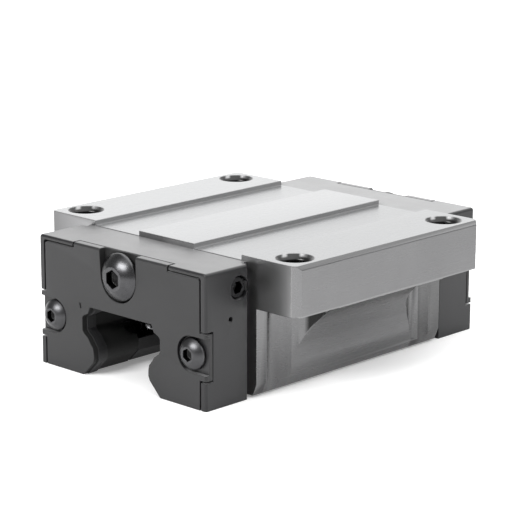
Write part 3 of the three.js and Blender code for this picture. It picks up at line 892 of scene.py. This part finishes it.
def body_half_section():
    edge = FLANGE_HALF_WIDTH
    sweep = (BODY_SIDE_X + SWEEP_RADIUS, SWEEP_CENTRE_Z)
    sweep_start = math.degrees(math.acos((edge - sweep[0]) / SWEEP_RADIUS))
    groove_start = math.degrees(math.acos((LEG_INNER_X - LOWER_RACEWAY[0]) / CHANNEL_RADIUS))
    return [
        (CENTRE_PAD_HALF_WIDTH, PAD_TOP),
        (CENTRE_PAD_HALF_WIDTH, STRIP_TOP),
        (SIDE_PAD_INNER_X, STRIP_TOP),
        (SIDE_PAD_INNER_X, PAD_TOP),
        (edge - FLANGE_EDGE_CHAMFER, PAD_TOP),
        (edge, PAD_TOP - FLANGE_EDGE_CHAMFER),
        *arc(sweep, SWEEP_RADIUS, sweep_start, 180, 40),
        (BODY_SIDE_X, BODY_BOTTOM + BOTTOM_CHAMFER_HEIGHT),
        (BODY_SIDE_X - BOTTOM_CHAMFER_WIDTH, BODY_BOTTOM),
        (LEG_INNER_X, BODY_BOTTOM),
        *arc(LOWER_RACEWAY, CHANNEL_RADIUS, -groove_start, GROOVE_LIP_ANGLE, 24),
        (RETAINER_WALL_X, LOWER_RACEWAY[1] + 0.6),
        (RETAINER_WALL_X, UPPER_RACEWAY[1] - 0.6),
        *arc(UPPER_RACEWAY, CHANNEL_RADIUS, -GROOVE_LIP_ANGLE, 90 + GROOVE_LIP_ANGLE, 28),
        (CEILING_HALF_WIDTH, UPPER_RACEWAY[1] + CHANNEL_RADIUS),
        (CEILING_HALF_WIDTH, CEILING_Z),
    ]


def hole_cutter(x, y):
    """The inside of a tapped and countersunk hole, its thread drawn as rings."""
    low = FLANGE_UNDERSIDE - 2
    ring = [
        (THREAD_CREST_RADIUS, 0),
        (THREAD_ROOT_RADIUS, THREAD_PITCH * 0.44),
        (THREAD_ROOT_RADIUS, THREAD_PITCH * 0.56),
        (THREAD_CREST_RADIUS, THREAD_PITCH * 0.9),
    ]
    profile = [
        (0, low),
        (THREAD_CREST_RADIUS, low),
        *repeated(ring, low + 0.5, THREAD_TOP - THREAD_PITCH, THREAD_PITCH),
        (THREAD_CREST_RADIUS, THREAD_TOP),
        (COUNTERSINK_RADIUS, PAD_TOP),
        (COUNTERSINK_RADIUS + 0.2, PAD_TOP + 0.2),
        (0, PAD_TOP + 0.2),
    ]
    return lathe(profile, Matrix.Translation((x, y, 0)), 64)


def relief_cutters(side, end):
    """Milled relief under one fixing hole, from the hollow to the end of the body."""
    outer_x, outer_y = FLANGE_HALF_WIDTH + BEYOND, BODY_HALF_LENGTH + BEYOND
    wall = [
        (OUTER_RELIEF["x"] - OUTER_RELIEF["radius"], OUTER_RELIEF["y"]),
        (INNER_RELIEF["x"] - INNER_RELIEF["radius"], INNER_RELIEF["y"]),
        (outer_x, INNER_RELIEF["y"]),
        (outer_x, OUTER_RELIEF["y"]),
    ]
    cutters = [
        column(wall, -BEYOND, FLANGE_UNDERSIDE),
        box((BODY_SIDE_X, OUTER_RELIEF["y"], -BEYOND), (outer_x, outer_y, FLANGE_UNDERSIDE)),
    ]
    for relief in (OUTER_RELIEF, INNER_RELIEF):
        x, y = relief["x"], relief["y"]
        cutters.append(rod(relief["radius"], (x, y, -BEYOND), (x, y, FLANGE_UNDERSIDE), 144))
    for bm in cutters:
        bmesh.ops.scale(bm, verts=bm.verts, vec=(side, end, 1))
        bmesh.ops.recalc_face_normals(bm, faces=bm.faces)
    return cutters


def corner_cutter(side, end):
    reach = 3
    bm = box((-reach, -reach, BODY_BOTTOM), (reach, reach, PAD_TOP + BEYOND))
    bmesh.ops.rotate(bm, verts=bm.verts, matrix=Matrix.Rotation(math.pi / 4, 3, "Z"))
    offset = reach * math.sqrt(0.5) - FLANGE_CORNER_CHAMFER / 2
    place = (side * (FLANGE_HALF_WIDTH + offset), end * (BODY_HALF_LENGTH + offset), 0)
    bmesh.ops.translate(bm, verts=bm.verts, vec=place)
    return bm


def steel_body():
    half = BODY_HALF_LENGTH
    blank = prism(both_sides(body_half_section()), -half, half)
    cutters = []
    for side in (-1, 1):
        for x, z in (UPPER_RETURN, LOWER_RETURN):
            radius = RETURN_TUBE_RADIUS + GAP
            cutters.append(rod(radius, (side * x, -half - BEYOND, z), (side * x, half + BEYOND, z)))
        for end in (-1, 1):
            cutters.append(hole_cutter(side * HOLE_X, end * HOLE_Y))
            cutters += relief_cutters(side, end)
            cutters.append(corner_cutter(side, end))
            mouth, bottom = end * (half + BEYOND), end * (half - SCREW_HOLE_DEPTH)
            cutters.append(screw_hole(PLATE_SCREW, side, mouth, bottom))
    body = bevelled(carve(blank, cutters), BODY_BEVEL)
    piece("steel_body", body, STEEL, "carriage_body")


steel_body()

# -------------------- ball guides in the body


def upper_retainer(side):
    top = UPPER_RACEWAY[1] + CHANNEL_RADIUS - GAP
    inner_x = CEILING_HALF_WIDTH + GAP
    hollow = arc(UPPER_RACEWAY, RETAINER_RADIUS, 122, 175, 16)
    return on_side([(inner_x, 13.1), (inner_x, top), *hollow, (7.5, 12.95)], side)


def middle_retainer(side):
    reach = RETAINER_WALL_X - GAP - UPPER_RACEWAY[0]
    half_angle = math.degrees(math.acos(reach / RETAINER_RADIUS))
    return on_side([
        *arc(UPPER_RACEWAY, RETAINER_RADIUS, -half_angle, -85, 16),
        *arc(LOWER_RACEWAY, RETAINER_RADIUS, 85, half_angle, 16),
    ], side)


def lower_retainer(side):
    outer = LEG_INNER_X - GAP
    hollow = arc(LOWER_RACEWAY, RETAINER_RADIUS, 202, 274, 20)
    return on_side([(outer, 0.25), (9.9, 0.25), (7.5, 2.6), (7.35, 4.9), *hollow], side)


def strip(name, outline, material):
    bm = bevelled(prism(outline, -BODY_HALF_LENGTH, BODY_HALF_LENGTH), STRIP_BEVEL)
    piece(f"{name}_piece", bm, material, name)


def return_tube(name, centre, side):
    chamfer = 0.1
    outer, inner = RETURN_TUBE_RADIUS, CHANNEL_RADIUS
    end, rim = BODY_HALF_LENGTH, BODY_HALF_LENGTH - chamfer
    outside = [(outer - chamfer, -end), (outer, -rim), (outer, rim), (outer - chamfer, end)]
    inside = [(inner + chamfer, end), (inner, rim), (inner, -rim), (inner + chamfer, -end)]
    x, z = side * centre[0], centre[1]
    bm = looped([
        [(x + across, y, z + up) for across, up in circle(radius, 48)]
        for radius, y in outside + inside
    ])
    piece(f"{name}_piece", bm, BLACK_PLASTIC, name)


def ball_strand(name, centre, side, body):
    balls = []
    for i in range(BALLS_PER_STRAND):
        bm = bmesh.new()
        y = (i - (BALLS_PER_STRAND - 1) / 2) * BALL_PITCH
        place = Matrix.Translation((side * centre[0], y, centre[1]))
        bmesh.ops.create_uvsphere(
            bm,
            u_segments=32,
            v_segments=20,
            radius=BALL_DIAMETER / 2,
            matrix=place @ Matrix.Rotation(math.pi / 2, 4, "X"),
        )
        balls.append(bm)
    piece(f"{name}_piece", merged(balls), BALL_STEEL, name, body=body)


def ball_paths(hand, side):
    strip(f"upper_retainer_{hand}", upper_retainer(side), BLACK_PLASTIC)
    strip(f"middle_retainer_{hand}", middle_retainer(side), BLACK_PLASTIC)
    strip(f"lower_seal_strip_{hand}", lower_retainer(side), RUBBER)
    for level, raceway, back in CIRCUITS:
        return_tube(f"{level}_return_tube_{hand}", back, side)
        ball_strand(f"{level}_loaded_balls_{hand}", raceway, side, f"{level}_{hand}_loaded")
        ball_strand(f"{level}_returning_balls_{hand}", back, side, f"{level}_{hand}_returning")


for hand, side in SIDES:
    ball_paths(hand, side)

# -------------------- end caps


def rail_channel(growth):
    """Right-hand half of the opening for the rail, from its top to the bottom of the leg."""
    roof = [(7.9, 12.8 + growth), (8.45, 11.5 + growth / 2), (9.5, 11.05 + growth / 2)]
    shoulder = [(9.95, 10.6), (9.95, 8.3), (9.5, 7.75), (8.5, 7.05), (7.9, 6.2), (7.2, 5.4)]
    foot = [(7, 4.4), (7, 3.4), (7.35, 2.6), (9.95, 0)]
    return [(x + growth, z) for x, z in roof + shoulder + foot]


def arch(outer_half, growth):
    return both_sides([*outer_half, *reversed(rail_channel(growth))])


def cap_outer_half(side_inset):
    side = CAP_HALF_WIDTH - side_inset
    corner = (side - CAP_CORNER, CAP_TOP - CAP_CORNER)
    return [*arc(corner, CAP_CORNER, 90, 0, 6), (side, 0)]


def on_front_rim(point):
    """On the outer edge of the front face, where the moulding is rounded."""
    at_top = point.z > CAP_TOP - 0.7
    at_side = abs(point.x) > CAP_HALF_WIDTH - 0.01
    return abs(point.y - CAP_FRONT_Y) < 0.01 and (at_top or at_side)


def plate_outer_half(seam):
    side = PLATE_HALF_WIDTH + seam
    shoulder = PLATE_SHOULDER_Z + seam
    raised = PLATE_RAISED_HALF_WIDTH + seam
    beyond = BEYOND if seam > 0 else 0
    outside = CAP_HALF_WIDTH + beyond
    return [
        (raised, CAP_TOP + beyond),
        (raised, shoulder),
        *arc((side - PLATE_CORNER, shoulder - PLATE_CORNER), PLATE_CORNER, 90, 0, 8),
        (side, EAR_HIGH_Z + seam),
        (outside, EAR_HIGH_Z + seam),
        (outside, EAR_LOW_Z - seam),
        (side, EAR_LOW_Z - seam),
        (side, -beyond),
    ]


def recess(outer_half, low, high):
    """A space whose outline is open at the bottom of the cap."""
    return prism(both_sides([*outer_half, (0.01, -BEYOND)]), low, high)


def plate_recess():
    back = CAP_FRONT_Y + PLATE_THICKNESS
    return recess(plate_outer_half(PLATE_SEAM), CAP_FRONT_Y - BEYOND, back + PLATE_BACK_SEAM)


def seal_outer_half(growth):
    side = SEAL_WIDTH / 2 + growth
    top = SEAL_TOP + growth
    return [
        *arc((side - SEAL_CORNER, top - SEAL_CORNER), SEAL_CORNER, 90, 0, 8),
        (side, -BEYOND if growth > 0 else SEAL_BOTTOM),
    ]


def seal_recess():
    low = CAP_FRONT_Y + PLATE_THICKNESS
    return recess(seal_outer_half(GAP), low, low + SEAL_THICKNESS + 2 * GAP)


def turn_frame(raceway, back, side):
    """Centre, radius, direction across and axis of one ball turn."""
    start = Vector((side * raceway[0], 0, raceway[1]))
    end = Vector((side * back[0], 0, back[1]))
    centre = (start + end) / 2
    centre.y = CAP_REAR_Y
    across = (end - start).normalized()
    return centre, (end - start).length / 2, across, across.cross(Vector((0, 1, 0)))


def turn_channel(raceway, back, side):
    """The ring that the balls turn in; its half outside the cap cuts nothing."""
    centre, radius, across, axis = turn_frame(raceway, back, side)
    rings = []
    for turn_across, turn_along in circle(1, 48):
        outward = across * turn_across + Vector((0, 1, 0)) * turn_along
        rings.append([
            centre + outward * (radius + CHANNEL_RADIUS * out) + axis * CHANNEL_RADIUS * up
            for out, up in circle(1, 24)
        ])
    return looped(rings)


def turn_drum(raceway, back, side):
    """Room for the drum of the return guide, inside the turn."""
    centre, radius, _, axis = turn_frame(raceway, back, side)
    reach = axis * (GUIDE_DRUM_HALF_LENGTH + GAP)
    return rod(radius + GAP, centre - reach, centre + reach)


def guide_web_space(side):
    inner, outer = GUIDE_WEB_X
    low, high = sorted((side * (inner - GAP), side * (outer + GAP)))
    front = CAP_REAR_Y - GUIDE_WEB_DEPTH - GAP
    return box((low, front, GUIDE_WEB_Z[0]), (high, CAP_REAR_Y + BEYOND, GUIDE_WEB_Z[1]))


def side_hole(side, radius, depth, y, z, segments):
    outside, inside = side * (CAP_HALF_WIDTH + BEYOND), side * (CAP_HALF_WIDTH - depth)
    return rod(radius, (outside, y, z), (inside, y, z), segments)


def cap_side_cutters(side):
    cutters = [
        side_hole(side, PORT_RADIUS + 0.1, PORT_DEPTH, PORT_Y, PORT_Z, 48),
        side_hole(side, PIN_RADIUS, PIN_DEPTH, PIN_Y, PIN_Z, 24),
        screw_hole(PLATE_SCREW, side, CAP_FRONT_Y - BEYOND, CAP_REAR_Y + BEYOND),
        guide_web_space(side),
    ]
    for _, raceway, back in CIRCUITS:
        cutters.append(turn_channel(raceway, back, side))
        cutters.append(turn_drum(raceway, back, side))
    return cutters


def top_lip():
    """Closes most of the gap between the neck and the steel, along the top."""
    half = CAP_HALF_WIDTH - CAP_NECK_INSET - 0.2
    return box((-half, CAP_REAR_Y - 0.4, CAP_TOP - 0.5), (half, CAP_REAR_Y + 0.04, CAP_TOP - 0.01))


def end_cap(end, turned):
    neck_y = CAP_REAR_Y - CAP_NECK_DEPTH
    main = prism(arch(cap_outer_half(0), GAP), CAP_FRONT_Y, neck_y)
    main = rounded(main, on_front_rim, CAP_EDGE_ROUND)
    neck = prism(arch(cap_outer_half(CAP_NECK_INSET), GAP), neck_y - BEYOND, CAP_REAR_Y)
    edge = CAP_HALF_WIDTH + BEYOND
    cutters = [
        plate_recess(),
        seal_recess(),
        screw_hole(PLUG_SCREW, 1, CAP_FRONT_Y - BEYOND, PLUG_HOLE_END_Y),
        rod(GALLERY_RADIUS, (-edge, PORT_Y, PORT_Z), (edge, PORT_Y, PORT_Z), 24),
    ]
    for side in (-1, 1):
        cutters += cap_side_cutters(side)
    bm = merged([bevelled(carve(joined(main, [neck]), cutters), CAP_BEVEL), top_lip()])
    piece(f"{end}_cap_shell", bm, CAP_PLASTIC, f"{end}_end_cap", turned)


def side_pocket(side):
    centre = (PLATE_SCREW["x"], PLATE_SCREW["z"])
    radius = PLATE_POCKET_RADIUS
    outline = on_side([
        *arc(centre, radius, 90, 270, 40),
        (CAP_HALF_WIDTH + BEYOND, centre[1] - radius),
        (CAP_HALF_WIDTH + BEYOND, centre[1] + radius),
    ], side)
    return prism(outline, CAP_FRONT_Y - BEYOND, CAP_FRONT_Y + POCKET_DEPTH)


def top_pocket():
    radius = PLUG_POCKET_RADIUS
    x = PLUG_SCREW["x"]
    outline = [
        *arc((x, PLUG_SCREW["z"]), radius, 180, 360, 56),
        (x + radius, CAP_TOP + BEYOND),
        (x - radius - PLUG_POCKET_DRAFT, CAP_TOP + BEYOND),
    ]
    return prism(outline, CAP_FRONT_Y - BEYOND, CAP_FRONT_Y + PLUG_POCKET_DEPTH)


def gate_mark():
    """Small scar beside the rail channel, where the moulding was cut from its sprue."""
    x, z = GATE_MARK
    outline = [(x - 0.3, z + 0.45), (x + 0.1, z + 0.55), (x + 0.3, z - 0.4), (x, z - 0.6)]
    return prism(outline, CAP_FRONT_Y - BEYOND, CAP_FRONT_Y + GATE_MARK_DEPTH)


def front_plate(end, turned):
    low, high = CAP_FRONT_Y - BEYOND, CAP_FRONT_Y + PLATE_THICKNESS + BEYOND
    cutters = [top_pocket(), gate_mark(), screw_hole(PLUG_SCREW, 1, low, high)]
    for side in (-1, 1):
        cutters += [screw_hole(PLATE_SCREW, side, low, high), side_pocket(side)]
    blank = prism(arch(plate_outer_half(0), 0), CAP_FRONT_Y, CAP_FRONT_Y + PLATE_THICKNESS)
    bm = bevelled(carve(rounded(blank, on_front_rim, CAP_EDGE_ROUND), cutters), PLATE_BEVEL)
    piece(f"{end}_cover_plate", bm, PLATE_PLASTIC, f"{end}_plate", turned)


def wiper_seal(end, turned):
    low = CAP_FRONT_Y + PLATE_THICKNESS + GAP
    sheet = prism(arch(seal_outer_half(0), SHEET_INNER), low, low + SEAL_THICKNESS)
    lip = prism(arch(rail_channel(LIP_OUTER), LIP_INNER), low - LIP_REACH, low + 0.2)
    bm = bevelled(joined(sheet, [lip]), LIP_BEVEL)
    piece(f"{end}_wiper_lip", bm, RUBBER, f"{end}_wiper_seal", turned)


# -------------------- screws


def hexagon_socket(across_flats, depth, matrix):
    """The space inside a hexagon socket, with the cone that the drill leaves at its bottom."""
    corner = across_flats / math.sqrt(3)
    profile = [(0, -depth - corner * 0.4), (corner, -depth), (corner, BEYOND), (0, BEYOND)]
    return lathe(profile, matrix @ Matrix.Rotation(math.pi / 6, 4, "Z"), 6)


def thread_profile(radius, pitch, length):
    """Side of a threaded shank as rings, from its point up to the head."""
    crest = radius - 0.02
    root = radius - pitch * 0.5
    ring = [(crest, 0), (crest, pitch * 0.15), (root, pitch * 0.5), (root, pitch * 0.65)]
    return [
        (0, -length),
        (radius - 0.35, -length),
        *repeated(ring, -length + 0.35, -pitch, pitch),
        (radius, -pitch * 0.5),
        (radius, 0),
    ]


DOME_RADIUS = 1.266
DOME_FLAT = 0.48
SOCKET_DEPTH = 0.62


def button_screw(name, node, screw, side, turned):
    """A domed head with a flat round its socket, on a threaded shank."""
    head, height = screw["head"], screw["height"]
    ball = head * DOME_RADIUS
    flat = head * DOME_FLAT
    centre = height - math.sqrt(ball ** 2 - flat ** 2)
    rim = math.degrees(math.acos(head / ball))
    top = math.degrees(math.acos(flat / ball))
    dome = [(head, 0), *arc((0, centre), ball, rim, top, 14)]
    profile = thread_profile(screw["radius"], screw["pitch"], screw["length"])
    place = Matrix.Translation((side * screw["x"], HEAD_SEAT_Y, screw["z"]))
    place = place @ Matrix.Rotation(math.pi / 2, 4, "X")
    body = lathe([*profile, *dome, (0, height)], place, 64)
    at_top = place @ Matrix.Translation((0, 0, height))
    socket = hexagon_socket(screw["socket"], height * SOCKET_DEPTH, at_top)
    bm = bevelled(carve(body, [socket]), SCREW_BEVEL, 40)
    piece(name, bm, SCREW_STEEL, node, turned)


def port_plug(name, node, side, turned):
    """A set screw, threaded all along, with a socket in its outer end."""
    crest = PORT_RADIUS - 0.02
    root = PORT_RADIUS - 0.35
    ring = [(crest, 0), (crest, 0.1), (root, 0.35), (root, 0.45)]
    profile = [
        (0, -PORT_LENGTH),
        (PORT_RADIUS - 0.4, -PORT_LENGTH),
        *repeated(ring, -PORT_LENGTH + 0.3, -PORT_PITCH, PORT_PITCH),
        (PORT_RADIUS, -0.3),
        (PORT_RADIUS - 0.3, 0),
        (0, 0),
    ]
    place = Matrix.Translation((side * PORT_OUTER_X, PORT_Y, PORT_Z))
    place = place @ Matrix.Rotation(side * math.pi / 2, 4, "Y")
    socket = hexagon_socket(PORT_SOCKET, PORT_SOCKET_DEPTH, place)
    bm = bevelled(carve(lathe(profile, place, 48), [socket]), PLUG_BEVEL, 40)
    piece(name, bm, PLUG_STEEL, node, turned)


def keep_cad_node(node, material, width):
    """Dresses a CAD node whose shape is right: rounded edges and a better material."""
    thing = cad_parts[node]
    for slot in thing.material_slots:
        slot.material = material
    add_bevel(thing, width * MM, 40)


def end_assembly(end, turned):
    end_cap(end, turned)
    front_plate(end, turned)
    wiper_seal(end, turned)
    button_screw(f"{end}_plug_screw", f"{end}_lube_plug_screw", PLUG_SCREW, 1, turned)
    for hand, side in SIDES:
        button_screw(f"{end}_m3_screw_{hand}", f"{end}_plate_screw_{hand}", PLATE_SCREW, side, turned)
        port_plug(f"{end}_set_screw_{hand}", f"{end}_port_plug_{hand}", side, turned)
        keep_cad_node(f"{end}_return_guide_{hand}", BLACK_PLASTIC, GUIDE_BEVEL)


end_assembly("front", False)
end_assembly("rear", True)

# -------------------- floor and light

FLOOR_HALF_SIZE = 6
FLOOR_GLOW = 0.2
FRONT = (-0.40, -0.90, 0.05)
FRONT_LIGHT = 0.35
ROOM_LIGHT = 0.85
BACKDROP = (-0.67, 0.70, 0.24)
BACKDROP_LIGHT = 0.65
BACKGROUND_SEEN = 1.2


def add_floor():
    """Pale paper that can't be seen from below."""
    bm = bmesh.new()
    bmesh.ops.create_grid(bm, x_segments=1, y_segments=1, size=FLOOR_HALF_SIZE)
    mesh = bpy.data.meshes.new("floor")
    bm.to_mesh(mesh)
    bm.free()
    n = Nodes("floor_paper")
    n.set(Base_Color=(0.86, 0.86, 0.86, 1), Roughness=0.9)
    n.set(Emission_Color=(1, 1, 1, 1), Emission_Strength=FLOOR_GLOW)
    behind = n.add("NewGeometry").outputs["Backfacing"]
    clear = n.add("BsdfTransparent").outputs["BSDF"]
    one_sided = n.add("MixShader", {"Fac": behind, 1: n.shader.outputs["BSDF"], 2: clear})
    n.put(n.tree.nodes["Material Output"].inputs["Surface"], one_sided.outputs["Shader"])
    mesh.materials.append(n.material)
    floor = bpy.data.objects.new("floor", mesh)
    floor.location = (0, 0, cad_low.z)
    SCENE.collection.objects.link(floor)


def add_light(name, kind, direction, energy, place=(0, 0, 0)):
    """direction points from the scene to the light."""
    data = bpy.data.lights.new(name, kind)
    data.energy = energy
    light = bpy.data.objects.new(name, data)
    light.location = place
    light.rotation_mode = "QUATERNION"
    light.rotation_quaternion = Vector(direction).to_track_quat("Z", "Y")
    SCENE.collection.objects.link(light)
    return data


def add_softbox():
    place = Vector((-0.06, -0.58, 0.42))
    target = Vector((0, 0, 0.01))
    data = add_light("softbox_front", "AREA", place - target, 5.0, place)
    data.shape = "RECTANGLE"
    data.size, data.size_y = 0.40, 0.20


def add_world():
    """A bright room, darker in front of the object and brightest low down behind it."""
    world = bpy.data.worlds.new("studio")
    world.use_nodes = True
    n = Tree(world.node_tree)
    direction = n.add("TexCoord").outputs["Generated"]

    def towards(vector, low, high, near, far):
        dot = n.add("VectorMath", {0: direction, 1: Vector(vector).normalized()}, operation="DOT_PRODUCT")
        return n.ramp(dot.outputs["Value"], low, high, far, near, "SMOOTHSTEP")

    total = n.math(
        "ADD",
        towards(FRONT, 0.0, 0.45, FRONT_LIGHT, ROOM_LIGHT),
        towards(BACKDROP, 0.55, 0.95, BACKDROP_LIGHT, 0),
    )
    seen = n.add("LightPath").outputs["Is Camera Ray"]
    background = n.tree.nodes["Background"]
    n.put(background.inputs["Color"], (1, 1, 1, 1))
    n.put(background.inputs["Strength"], n.blend(seen, total, BACKGROUND_SEEN))
    SCENE.world = world


add_floor()
add_world()
add_light("overhead", "SUN", (0.25, 0.2, 1), 2.6).angle = math.radians(90)
add_softbox()
SCENE.view_settings.view_transform = "Standard"
